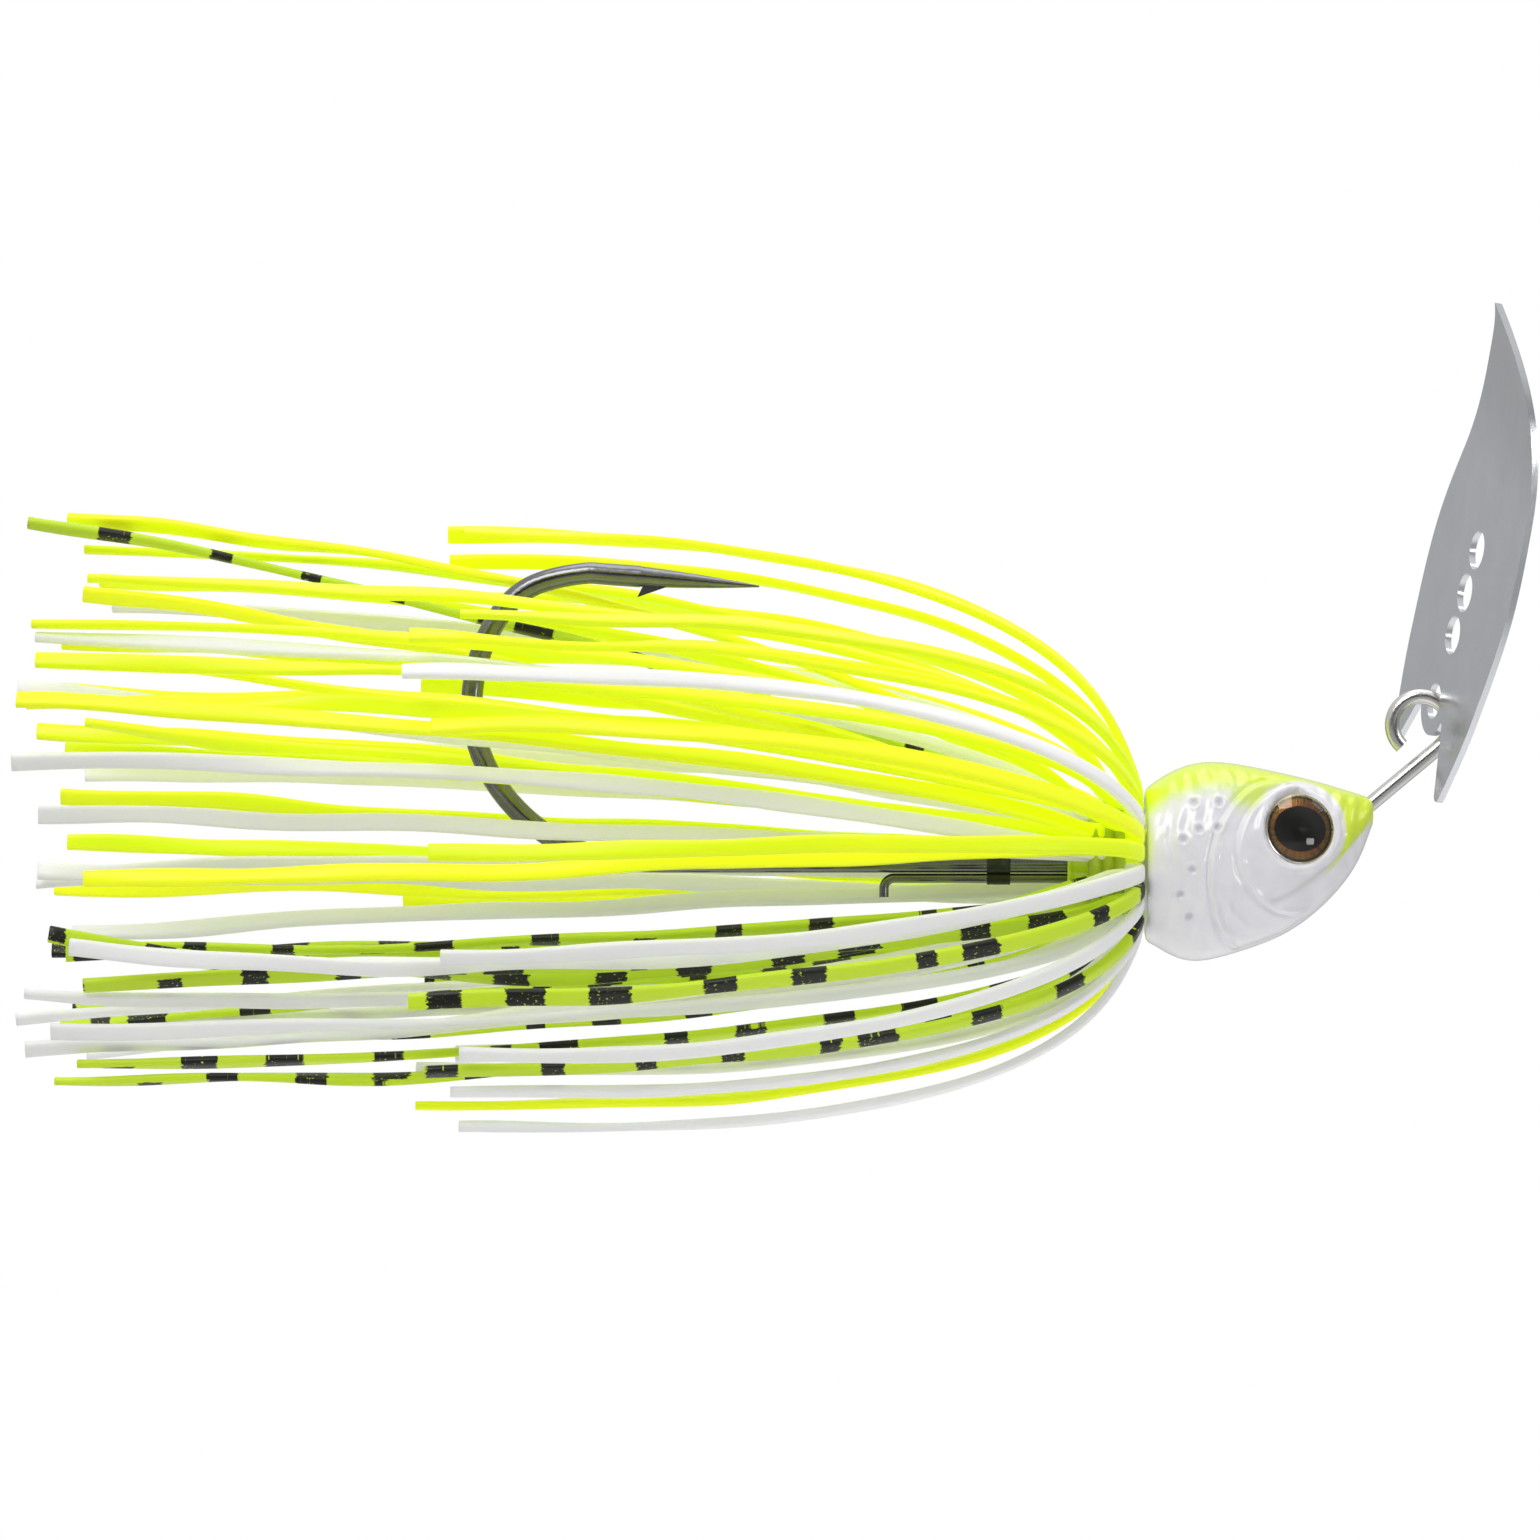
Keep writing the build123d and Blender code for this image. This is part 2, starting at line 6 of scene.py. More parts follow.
import bmesh
import bpy
import numpy as np
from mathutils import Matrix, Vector


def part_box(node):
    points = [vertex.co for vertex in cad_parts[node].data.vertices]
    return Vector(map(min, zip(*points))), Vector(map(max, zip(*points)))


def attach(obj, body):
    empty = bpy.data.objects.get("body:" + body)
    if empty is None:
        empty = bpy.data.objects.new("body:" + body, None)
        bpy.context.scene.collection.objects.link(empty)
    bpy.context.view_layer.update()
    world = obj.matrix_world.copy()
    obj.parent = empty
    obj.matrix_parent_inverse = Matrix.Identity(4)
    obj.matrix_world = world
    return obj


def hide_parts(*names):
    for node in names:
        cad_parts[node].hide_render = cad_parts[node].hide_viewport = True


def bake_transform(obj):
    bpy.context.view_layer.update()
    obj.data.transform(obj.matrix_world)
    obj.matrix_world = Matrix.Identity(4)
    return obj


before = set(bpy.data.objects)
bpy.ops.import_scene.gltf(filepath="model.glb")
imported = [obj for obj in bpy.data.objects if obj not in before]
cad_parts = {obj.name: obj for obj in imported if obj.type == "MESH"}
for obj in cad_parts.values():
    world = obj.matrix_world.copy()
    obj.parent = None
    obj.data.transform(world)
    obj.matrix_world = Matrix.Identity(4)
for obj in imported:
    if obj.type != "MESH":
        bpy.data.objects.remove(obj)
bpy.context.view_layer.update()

MM = 0.001
SEED = 20

# Head: relief and paint, with places as (x, z) in millimetres on the side of the head
HEAD_VOXEL = 0.11
GILL_PLATE = {"centre": (8.8, -1.0), "radii": (4.6, 6.5), "step": 0.26, "lip": 0.17}
CHEEK_PLATE = {"centre": (10.2, 0.8), "radii": (4.1, 4.2), "step": 0.16, "lip": 0.12}
JAW_LINE = ((15.3, 2.5), (12.3, -1.0), (8.6, -2.5))
JAW_DEPTH, JAW_WIDTH = 0.14, 0.22
PITS = [(3.2, 4.1), (4.9, 4.1), (3.5, 2.3), (4.8, 2.4), (2.4, 1.6), (3.0, -0.5), (2.2, -2.2), (2.8, -3.7)]
PIT_RADIUS, PIT_DEPTH = 0.26, 0.15
EYE_RING_RADIUS, EYE_RING_HEIGHT, SOCKET_RADIUS = 2.75, 0.14, 2.5
CRESCENT_CENTRE, CRESCENT_RADII, CRESCENT_HEIGHT = (9.0, -0.6), (5.3, 4.2), 0.14
RAY_HEIGHT, STREAK_HEIGHT, FACET_HEIGHT = 0.05, 0.04, 0.05

# Eye: radii of its printed rings
AMBER_RADIUS, DARK_RIM_RADIUS, PALE_RIM_RADIUS, PUPIL_RADIUS = 1.60, 1.98, 2.20, 1.42

# Blade edges
EDGE_ROUND = 0.08
EDGE_ROUND_SEGMENTS = 3

# Collar band
COLLAR_INNER_RADIUS, COLLAR_RIBS, COLLAR_RIB_DEPTH = 1.9, 3, 0.5
COLLAR_TURNS, COLLAR_STEPS = 96, 40
COLLAR_PUCKERS, COLLAR_PUCKER = 16, 0.012

# Skirt strands
RING_STEP = 0.6
SECTION_POINTS = 12
SECTION_SQUARENESS = 0.55
TIP_ROUND = 0.06
TIP_TAPER = 0.9
STRAND_HALF_WIDTH, STRAND_HALF_THICKNESS = 0.60, 0.31
WAVE = 0.17
ROOT_LEAN, ROOT_LEAN_RUN = 0.38, 1.8
# Roots ahead of this x fold back over the collar's front edge in (x, outward) steps. Others run straight in
OUTER_ROOT_X = -1.2
ROOT_FOLD = [(-1.15, -1.2), (-0.55, -1.15), (0.05, -1.0), (0.38, -0.7), (0.42, -0.3)]
INNER_ROOT_STEPS = (1.5, 1.0, 0.5)
INNER_ROOT_SINK = 0.15
TWIST = math.radians(30)
BAR_PERIOD = 6.2

# Stage
FLOOR_Z = -60.0
CAMERA_CENTRE = (-25.86, 6.34)
FRAME_WIDTH = 106.2
CAMERA_DISTANCE = 600.0
SENSOR = 36.0
ROOM_DARK, ROOM_RISE, BEHIND_CAMERA_DARKENING = 0.08, 0.72, 0.85
LIGHT_AIM = (-0.03, 0, 0.005)
LIGHTS = {
    "key": {"place": (-0.35, -0.75, 0.75), "size": (0.6, 0.6), "watts": 4.2},
    "fill": {"place": (0.62, -0.70, -0.05), "size": (0.16, 0.22), "watts": 0.9},
    "top": {"place": (0.05, 0.15, 0.9), "size": (0.7, 0.7), "watts": 2.2},
}


# ---------------------------------------------------------------- node graphs


class Graph:
    """A node tree. Each method adds one node and returns what the next one takes."""

    def __init__(self, owner):
        owner.use_nodes = True
        self.tree = owner.node_tree
        self.tree.nodes.clear()
        self.owner = owner

    def node(self, kind, settings=None, **inputs):
        node = self.tree.nodes.new("ShaderNode" + kind)
        for key, value in (settings or {}).items():
            setattr(node, key, value)
        for key, value in inputs.items():
            self.feed(node.inputs[key.replace("_", " ")], value)
        return node

    def feed(self, socket, value):
        if isinstance(value, bpy.types.NodeSocket):
            self.tree.links.new(value, socket)
        elif hasattr(socket.default_value, "__len__") and len(socket.default_value) == 4:
            socket.default_value = (*value, 1.0)[:4]
        else:
            socket.default_value = value

    def math(self, operation, a, b=0.0, clamp=False):
        node = self.node("Math", {"operation": operation, "use_clamp": clamp})
        self.feed(node.inputs[0], a)
        self.feed(node.inputs[1], b)
        return node.outputs[0]

    def vector(self, operation, a, b):
        node = self.node("VectorMath", {"operation": operation})
        self.feed(node.inputs[0], a)
        self.feed(node.inputs[1], b)
        return node.outputs["Value" if operation in ("DISTANCE", "LENGTH", "DOT_PRODUCT") else "Vector"]

    def place(self):
        """The point in the row frame, in millimetres."""
        spot = self.node("TexCoord").outputs["Object"]
        return self.vector("MULTIPLY", spot, (1000, 1000, 1000))

    def stretched(self, vector, scale):
        return self.vector("MULTIPLY", vector, scale)

    def length(self, vector):
        return self.node("VectorMath", {"operation": "LENGTH"}, Vector=vector).outputs["Value"]

    def direction(self, vector):
        return self.node("VectorMath", {"operation": "NORMALIZE"}, Vector=vector).outputs["Vector"]

    def noise(self, vector, scale, detail=3.0, roughness=0.5):
        node = self.node("TexNoise", Vector=vector, Scale=scale, Detail=detail, Roughness=roughness)
        return node.outputs["Fac"]

    def attribute(self, name):
        return self.node("Attribute", {"attribute_name": name}).outputs["Fac"]

    def step(self, value, low, high):
        """0 below low, 1 above high, smooth between them."""
        node = self.node("MapRange", {"interpolation_type": "SMOOTHSTEP"})
        for socket, item in zip(node.inputs, (value, low, high, 0.0, 1.0)):
            self.feed(socket, item)
        return node.outputs[0]

    def mix(self, share, a, b):
        node = self.node("Mix", {"data_type": "RGBA"})
        self.feed(node.inputs[0], share)
        self.feed(node.inputs[6], a)
        self.feed(node.inputs[7], b)
        return node.outputs[2]

    def bump(self, height, strength, distance):
        node = self.node("Bump", Strength=strength, Distance=distance, Height=height)
        return node.outputs["Normal"]

    def surface(self, **inputs):
        shader = self.node("BsdfPrincipled", **inputs)
        self.output(shader.outputs[0])
        return shader

    def output(self, shader):
        self.node("OutputMaterial", Surface=shader)


def new_material(name):
    return bpy.data.materials.new(name)


def coat(shader, weight, roughness):
    shader.inputs["Coat Weight"].default_value = weight
    shader.inputs["Coat Roughness"].default_value = roughness


# ---------------------------------------------------------------- materials


def head_paint():
    """Pearl white under an airbrushed chartreuse back, with clear gloss over both."""
    g = Graph(new_material("head_paint"))
    place = g.place()
    speckle = g.noise(place, 9.0, 2.0)
    cloud = g.noise(place, 0.9, 3.0)
    spray = g.math("ADD", g.attribute("spray"), g.math("MULTIPLY", g.math("SUBTRACT", speckle, 0.5), 0.22))
    spray = g.math("ADD", spray, g.math("MULTIPLY", g.math("SUBTRACT", cloud, 0.5), 0.25))
    yellow = g.step(spray, 0.12, 0.95)
    pearl = g.mix(cloud, (0.80, 0.79, 0.85), (0.92, 0.91, 0.94))
    # Painted shade: the pearl darkens to grey-lilac in the pits and jaw groove.
    pearl = g.mix(g.attribute("hollow_shade"), pearl, (0.64, 0.64, 0.69))
    lemon = g.mix(g.step(spray, 0.35, 0.95), (0.70, 0.86, 0.20), (0.72, 0.90, 0.02))
    colour = g.mix(yellow, pearl, lemon)
    flake = g.node("TexVoronoi", {"feature": "F1"}, Vector=place, Scale=14.0).outputs["Distance"]
    grain = g.math("ADD", g.math("MULTIPLY", speckle, 0.6), g.math("MULTIPLY", flake, 0.3))
    normal = g.bump(grain, 0.10, 0.00005)
    rough = g.math("ADD", 0.24, g.math("MULTIPLY", cloud, 0.16))
    shader = g.surface(Base_Color=colour, Roughness=rough, Normal=normal, Subsurface_Weight=0.06)
    # Painted glow: faint emission of the paint's own colour brightens the head beyond what the lamps give.
    g.feed(shader.inputs["Emission Color"], colour)
    g.feed(shader.inputs["Emission Strength"], 0.06)
    shader.inputs["Subsurface Radius"].default_value = (1.0, 1.0, 1.0)
    shader.inputs["Subsurface Scale"].default_value = 0.3 * MM
    coat(shader, 0.9, 0.05)
    return g.owner


def eye_foil(centre):
    """Printed gold foil round an oval black pupil, with fine rays and a dark outer rim."""
    g = Graph(new_material("eye_foil"))
    away = g.vector("SUBTRACT", g.place(), tuple(centre / MM))
    oval = g.stretched(away, (0.80, 0.95, 0.95))
    radius = g.length(away)
    pupil_radius = g.length(oval)
    rays = g.noise(g.direction(away), 9.0, 4.0, 0.7)
    gold = g.mix(rays, (0.035, 0.014, 0.002), (0.34, 0.17, 0.016))
    amber = g.mix(rays, (0.08, 0.016, 0.002), (0.42, 0.13, 0.012))
    inner = g.math("SUBTRACT", 1.0, g.step(radius, AMBER_RADIUS, AMBER_RADIUS + 0.25))
    iris = g.mix(inner, gold, amber)
    iris = g.mix(g.step(radius, DARK_RIM_RADIUS, DARK_RIM_RADIUS + 0.14), iris, (0.012, 0.008, 0.003))
    iris = g.mix(g.step(radius, PALE_RIM_RADIUS, PALE_RIM_RADIUS + 0.07), iris, (0.50, 0.42, 0.10))
    pupil = g.math("SUBTRACT", 1.0, g.step(pupil_radius, PUPIL_RADIUS, PUPIL_RADIUS + 0.06))
    colour = g.mix(pupil, iris, (0.002, 0.002, 0.002))
    foil = g.math("SUBTRACT", 1.0, pupil)
    rough = g.math("ADD", 0.18, g.math("MULTIPLY", rays, 0.2))
    shader = g.surface(Base_Color=colour, Metallic=g.math("MULTIPLY", foil, 0.85), Roughness=rough)
    g.feed(shader.inputs["Specular IOR Level"], g.math("MULTIPLY", foil, 0.5))
    g.feed(shader.inputs["Normal"], g.bump(g.math("MULTIPLY", rays, foil), 0.25, 0.00004))
    return g.owner


def eye_lens():
    """Clear domed resin, which light passes straight through on its way to the foil."""
    g = Graph(new_material("eye_lens"))
    ripple = g.noise(g.place(), 1.4, 2.0)
    glass = g.node("BsdfGlass", Color=(0.99, 0.985, 0.97), Roughness=0.01, IOR=1.46)
    g.feed(glass.inputs["Normal"], g.bump(ripple, 0.06, 0.00003))
    clear = g.node("BsdfTransparent", Color=(0.97, 0.96, 0.94))
    path = g.node("LightPath")
    share = g.math("MAXIMUM", path.outputs["Is Shadow Ray"], path.outputs["Is Diffuse Ray"])
    mixed = g.node("MixShader")
    g.feed(mixed.inputs[0], share)
    g.feed(mixed.inputs[1], glass.outputs[0])
    g.feed(mixed.inputs[2], clear.outputs[0])
    g.output(mixed.outputs[0])
    return g.owner


def metal(name, dark, bright, rough, grain, scratch):
    """Plated or drawn metal: patchy tone, fine grain stretched along x, and small scratches."""
    g = Graph(new_material(name))
    place = g.place()
    cloud = g.noise(place, 0.35, 4.0)
    lines = g.noise(g.stretched(place, grain), 1.0, 5.0, 0.65)
    marks = g.node("TexVoronoi", {"feature": "DISTANCE_TO_EDGE"}, Vector=g.stretched(place, grain), Scale=0.9)
    hair = g.math("SUBTRACT", 1.0, g.step(marks.outputs["Distance"], 0.0, 0.02))
    tone = g.math("ADD", g.math("MULTIPLY", cloud, 0.6), g.math("MULTIPLY", lines, 0.4))
    colour = g.mix(tone, dark, bright)
    height = g.math("SUBTRACT", g.math("MULTIPLY", lines, 0.5), g.math("MULTIPLY", hair, 0.3))
    spread = g.math("ADD", g.math("MULTIPLY", lines, 0.12), g.math("MULTIPLY", cloud, 0.10))
    shader = g.surface(Base_Color=colour, Metallic=1.0, Roughness=g.math("ADD", rough, spread))
    g.feed(shader.inputs["Normal"], g.bump(height, scratch, 0.00003))
    return g.owner


def rubber(name, dark, bright, rough):
    """Moulded rubber: a fine pebbled skin with dusty patches."""
    g = Graph(new_material(name))
    place = g.place()
    skin = g.noise(place, 14.0, 3.0, 0.6)
    dust = g.step(g.noise(place, 1.1, 3.0), 0.45, 0.75)
    colour = g.mix(dust, dark, bright)
    shader = g.surface(Base_Color=colour, Roughness=g.math("ADD", rough, g.math("MULTIPLY", dust, 0.15)))
    g.feed(shader.inputs["Normal"], g.bump(skin, 0.35, 0.00005))
    return g.owner


def silicone(name, deep, pale, glow, bars=False):
    """Soft translucent silicone: tone drifts from strand to strand and along each; bars are printed on."""
    g = Graph(new_material(name))
    along, across, own = g.attribute("along"), g.attribute("across"), g.attribute("own")
    where = g.node("CombineXYZ", X=along, Y=g.math("MULTIPLY", across, 0.5), Z=g.math("MULTIPLY", own, 90.0))
    where = where.outputs[0]
    drift = g.noise(g.stretched(where, (0.07, 0.3, 1.0)), 1.0, 3.0)
    fine = g.noise(g.stretched(where, (1.3, 4.0, 1.0)), 1.0, 3.0)
    tone = g.math("ADD", g.math("MULTIPLY", own, 0.45), g.math("MULTIPLY", drift, 0.6), clamp=True)
    colour = g.mix(tone, deep, pale)
    rough = g.math("ADD", 0.30, g.math("MULTIPLY", fine, 0.14))
    if bars:
        black = printed_bars(g, along, across, own, where)
        colour = g.mix(black, colour, (0.006, 0.007, 0.004))
        glow = g.math("MULTIPLY", g.math("SUBTRACT", 1.0, black), glow)
    # Painted glow: emission of the strand's own colour brightens the silicone beyond what the lamps give;
    # printed bars get none.
    shader = g.surface(Base_Color=colour, Roughness=rough, Emission_Color=colour, Emission_Strength=glow)
    shader.inputs["Subsurface Weight"].default_value = 0.35
    shader.inputs["Subsurface Radius"].default_value = (1.0, 1.0, 0.5)
    shader.inputs["Subsurface Scale"].default_value = 0.5 * MM
    shader.inputs["Specular IOR Level"].default_value = 0.45
    g.feed(shader.inputs["Normal"], g.bump(fine, 0.18, 0.00006))
    return g.owner


def printed_bars(g, along, across, own, where):
    """Ragged black bars, each its own length and some only part of the strand's width."""
    run = g.math("ADD", along, g.math("MULTIPLY", own, 531.0))
    ragged = g.noise(g.stretched(where, (1.1, 5.0, 1.0)), 1.0, 3.0, 0.7)
    shifted = g.math("ADD", run, g.math("MULTIPLY", g.math("SUBTRACT", ragged, 0.5), 0.9))
    cells = g.node("TexVoronoi", {"voronoi_dimensions": "1D"}, W=g.math("MULTIPLY", shifted, 1 / BAR_PERIOD))
    g.feed(cells.inputs["Scale"], 1.0)
    g.feed(cells.inputs["Randomness"], 0.6)
    pick = g.node("SeparateColor", Color=cells.outputs["Color"])
    half = g.math("ADD", 0.09, g.math("MULTIPLY", pick.outputs[0], 0.15))
    bar = g.math("SUBTRACT", 1.0, g.step(g.math("SUBTRACT", cells.outputs["Distance"], half), -0.006, 0.010))
    lean = g.math("SUBTRACT", g.math("MULTIPLY", pick.outputs[1], 2.0), 1.0)
    over = g.math("ADD", g.math("MULTIPLY", across, lean), g.math("MULTIPLY", ragged, 0.7))
    wide = g.step(over, -0.30, -0.18)
    mottle = g.step(g.noise(g.stretched(where, (4.0, 8.0, 1.0)), 1.0, 2.0, 0.7), 0.29, 0.37)
    return g.math("MULTIPLY", g.math("MULTIPLY", bar, wide), mottle)


# ---------------------------------------------------------------- shapes


def new_object(name, mesh):
    made = bpy.data.objects.new(name, mesh)
    bpy.context.scene.collection.objects.link(made)
    return made


def copied(node, name):
    """A welded copy of a CAD node's mesh, as a free object."""
    made = new_object(name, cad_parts[node].data.copy())
    mesh = bmesh.new()
    mesh.from_mesh(made.data)
    bmesh.ops.remove_doubles(mesh, verts=mesh.verts, dist=1e-6)
    mesh.to_mesh(made.data)
    mesh.free()
    return made


def apply_modifiers(piece):
    bpy.context.view_layer.update()
    depsgraph = bpy.context.evaluated_depsgraph_get()
    mesh = bpy.data.meshes.new_from_object(piece.evaluated_get(depsgraph))
    piece.modifiers.clear()
    piece.data = mesh


def finish_piece(piece, body, material, slot, *nodes):
    piece.data.materials.clear()
    piece.data.materials.append(material)
    if body:
        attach(piece, body)
    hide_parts(*nodes)


def smooth(value, low, high):
    t = np.clip((value - low) / (high - low), 0, 1)
    return t * t * (3 - 2 * t)


def plate_relief(x, z, plate):
    """A raised plate with a lip along its edge and a shallow groove outside it."""
    cx, cz = plate["centre"]
    rx, rz = plate["radii"]
    inside = (1 - np.hypot((x - cx) / rx, (z - cz) / rz)) * min(rx, rz)
    lip = np.exp(-(((inside - 0.22) / 0.2) ** 2)) * plate["lip"]
    groove = np.exp(-(((inside + 0.16) / 0.16) ** 2)) * plate["lip"]
    return plate["step"] * smooth(inside, -0.25, 0.25) + lip - groove, inside


def distance_to_curve(x, z, points):
    """Distance from a quadratic curve through three places."""
    (ax, az), (bx, bz), (cx, cz) = points
    best = np.full(x.shape, 99.0)
    for t in np.linspace(0, 1, 40):
        s = 1 - t
        px = s * s * ax + 2 * s * t * bx + t * t * cx
        pz = s * s * az + 2 * s * t * bz + t * t * cz
        best = np.minimum(best, np.hypot(x - px, z - pz))
    return best


def head_relief(x, z, eye):
    """How far the side of the head stands out at (x, z), and how much painted shade its jaw groove and pits
    get.
    """
    gill, gill_inside = plate_relief(x, z, GILL_PLATE)
    cheek, _ = plate_relief(x, z, CHEEK_PLATE)
    front = 1 - smooth(x, 9.0, 12.0)
    height = gill * front + cheek * front
    jaw = np.exp(-((distance_to_curve(x, z, JAW_LINE) / JAW_WIDTH) ** 2))
    height -= JAW_DEPTH * jaw
    # Painted shade along the jaw groove and in the pits, returned beside the relief height.
    hollow_shade = jaw * 0.5
    for px, pz in PITS:
        away = np.hypot(x - px, z - pz)
        dip = np.exp(-((away / PIT_RADIUS) ** 4))
        rim = np.exp(-(((away - PIT_RADIUS * 1.55) / 0.12) ** 2))
        height += PIT_DEPTH * (0.45 * rim - dip)
        hollow_shade = np.maximum(hollow_shade, dip * 0.8)
    ring = np.hypot(x - eye[0], z - eye[2])
    height += EYE_RING_HEIGHT * np.exp(-(((ring - EYE_RING_RADIUS) / 0.22) ** 2))
    rays = np.sin(2.4 * (x + 0.35 * np.sin(0.9 * z)) * math.pi / 1.3 + 0.25 * z)
    height += RAY_HEIGHT * rays * smooth(-gill_inside, 0.1, 0.6) * smooth(x, 0.8, 1.8)
    on_gill = smooth(gill_inside, 0.3, 0.8)
    streaks = np.sin(7.0 * x + 1.1 * np.sin(1.3 * z)) * on_gill * (1 - smooth(x, 5.6, 6.6))
    for radius in CRESCENT_RADII:
        off = np.hypot(x - CRESCENT_CENTRE[0], z - CRESCENT_CENTRE[1]) - radius
        span = smooth(-z, 1.6, 2.8) * (1 - smooth(-z, 4.6, 5.6)) * (1 - smooth(x, 6.2, 7.6))
        height += CRESCENT_HEIGHT * np.exp(-((off / 0.24) ** 2)) * span
    facets = np.sin(2.1 * x + 1.7 * np.sin(1.1 * z)) * np.sin(1.6 * z - 1.3 * np.sin(0.8 * x))
    return height + STREAK_HEIGHT * streaks + FACET_HEIGHT * facets, hollow_shade


def back_spray(x, y, z, eye):
    """How much chartreuse lands on a point: the back, the snout ahead of the eye and the rear rim."""
    top = 6.9 - 0.035 * (x - 4.6) ** 2 * np.where(x < 4.6, 2.6, 0.62)
    depth = top - z
    back = 1 - smooth(depth, 0.5, 3.3)
    above_jaw = (z - 2.5) - (x - 15.3) * 1.15
    snout = smooth(x, 11.4, 13.2) * smooth(above_jaw, -0.25, 0.35)
    behind_eye = smooth(x, 4.5, 6.5) * (1 - smooth(x, 8.0, 9.5)) * (1 - smooth(depth, 2.2, 4.4)) * 0.75
    rear = (1 - smooth(x, 0.0, 1.1)) * smooth(z, -4.5, 2.5) * 0.55
    under_eye = smooth(x, 8.8, 11.5) * smooth(above_jaw, 0.0, 1.2) * (1 - smooth(above_jaw, 1.4, 3.4)) * 0.35
    around = np.hypot(x - eye[0], z - eye[2])
    ring = 1 - smooth(around, 2.95, 3.6)
    return np.maximum.reduce([back, snout, behind_eye, rear, under_eye]) * (1 - 0.95 * ring)


def point_attribute(mesh, name, values):
    layer = mesh.attributes.new(name, "FLOAT", "POINT")
    layer.data.foreach_set("value", np.asarray(values, np.float32))


def head_shell():
    """The cast head, remeshed finely so that its gill plates, pits and jaw line are real relief."""
    piece = copied("head_casting", "head_shell")
    remesh = piece.modifiers.new("Remesh", "REMESH")
    remesh.mode = "VOXEL"
    remesh.voxel_size = HEAD_VOXEL * MM
    remesh.use_smooth_shade = True
    even = piece.modifiers.new("Smooth", "SMOOTH")
    even.factor, even.iterations = 0.5, 4
    apply_modifiers(piece)
    mesh = piece.data
    count = len(mesh.vertices)
    points, normals = np.empty(count * 3), np.empty(count * 3)
    mesh.vertices.foreach_get("co", points)
    mesh.vertices.foreach_get("normal", normals)
    points, normals = points.reshape(-1, 3) / MM, normals.reshape(-1, 3)
    low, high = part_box("eye_disc_right")
    eye = np.array((low + high) / 2) / MM
    x, y, z = points.T
    height, hollow_shade = head_relief(x, z, eye)
    in_socket = np.hypot(x - eye[0], z - eye[2]) < SOCKET_RADIUS
    side = smooth(np.abs(normals[:, 1]), 0.30, 0.65) * smooth(x, 0.3, 1.0) * ~in_socket
    points += normals * (height * side)[:, None]
    mesh.vertices.foreach_set("co", (points * MM).ravel())
    point_attribute(mesh, "spray", back_spray(x, y, z, eye))
    # Painted shade for the pits and jaw groove, on the side faces only.
    point_attribute(mesh, "hollow_shade", hollow_shade * side)
    mesh.update()
    finish_piece(piece, "head", head_paint(), "head_paint", "head_casting")


def harden_normals(mesh):
    """Normals that follow the large faces, so that only the small rounds between them look rounded."""
    normals = np.zeros((len(mesh.vertices), 3))
    for face in mesh.polygons:
        face.use_smooth = True
        normals[list(face.vertices)] += np.array(face.normal) * face.area**1.5
    normals /= np.linalg.norm(normals, axis=1)[:, None]
    mesh.normals_split_custom_set_from_vertices(normals)


def blade_plate():
    """The pressed blade with its edges and holes broken by a small round."""
    piece = copied("blade", "blade_plate")
    bevel = piece.modifiers.new("Bevel", "BEVEL")
    bevel.width, bevel.segments = EDGE_ROUND * MM, EDGE_ROUND_SEGMENTS
    bevel.limit_method, bevel.angle_limit = "ANGLE", math.radians(40)
    bevel.use_clamp_overlap = True
    apply_modifiers(piece)
    harden_normals(piece.data)
    nickel = metal("polished_nickel", (0.62, 0.63, 0.67), (0.80, 0.81, 0.85), 0.10, (0.9, 7.0, 0.5), 0.14)
    finish_piece(piece, "blade", nickel, "polished_nickel", "blade")


def collar_band():
    """The rubber band, ribbed round its girth and puckered by the strands that it clamps."""
    low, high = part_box("skirt_collar")
    front, rear = high.x / MM, low.x / MM
    outer, inner = high.z / MM, COLLAR_INNER_RADIUS
    profile = []
    for i in range(COLLAR_STEPS + 1):
        t = i / COLLAR_STEPS
        swell = abs(math.sin(math.pi * COLLAR_RIBS * t)) ** 0.6
        radius = outer - COLLAR_RIB_DEPTH + COLLAR_RIB_DEPTH * swell
        profile.append((rear + (front - rear) * t, radius))
    profile = [(rear, inner)] + profile + [(front, inner)]
    mesh = bmesh.new()
    rings = []
    for k in range(COLLAR_TURNS):
        angle = 2 * math.pi * k / COLLAR_TURNS
        pucker = 1 - COLLAR_PUCKER * (1 + math.sin(COLLAR_PUCKERS * angle))
        ring = []
        for x, radius in profile:
            r = radius * pucker if radius > inner else radius
            ring.append(mesh.verts.new(Vector((x, r * math.cos(angle), r * math.sin(angle))) * MM))
        rings.append(ring)
    for a, b in zip(rings, rings[1:] + rings[:1]):
        for i in range(len(profile)):
            j = (i + 1) % len(profile)
            mesh.faces.new((a[i], a[j], b[j], b[i]))
    bmesh.ops.recalc_face_normals(mesh, faces=mesh.faces)
    data = bpy.data.meshes.new("collar_band")
    mesh.to_mesh(data)
    mesh.free()
    for face in data.polygons:
        face.use_smooth = True
    piece = new_object("collar_band", data)
    tinted = rubber("collar_rubber", (0.50, 0.62, 0.05), (0.62, 0.72, 0.16), 0.5)
    finish_piece(piece, "head", tinted, "collar_rubber", "skirt_collar")


# ---------------------------------------------------------------- skirt


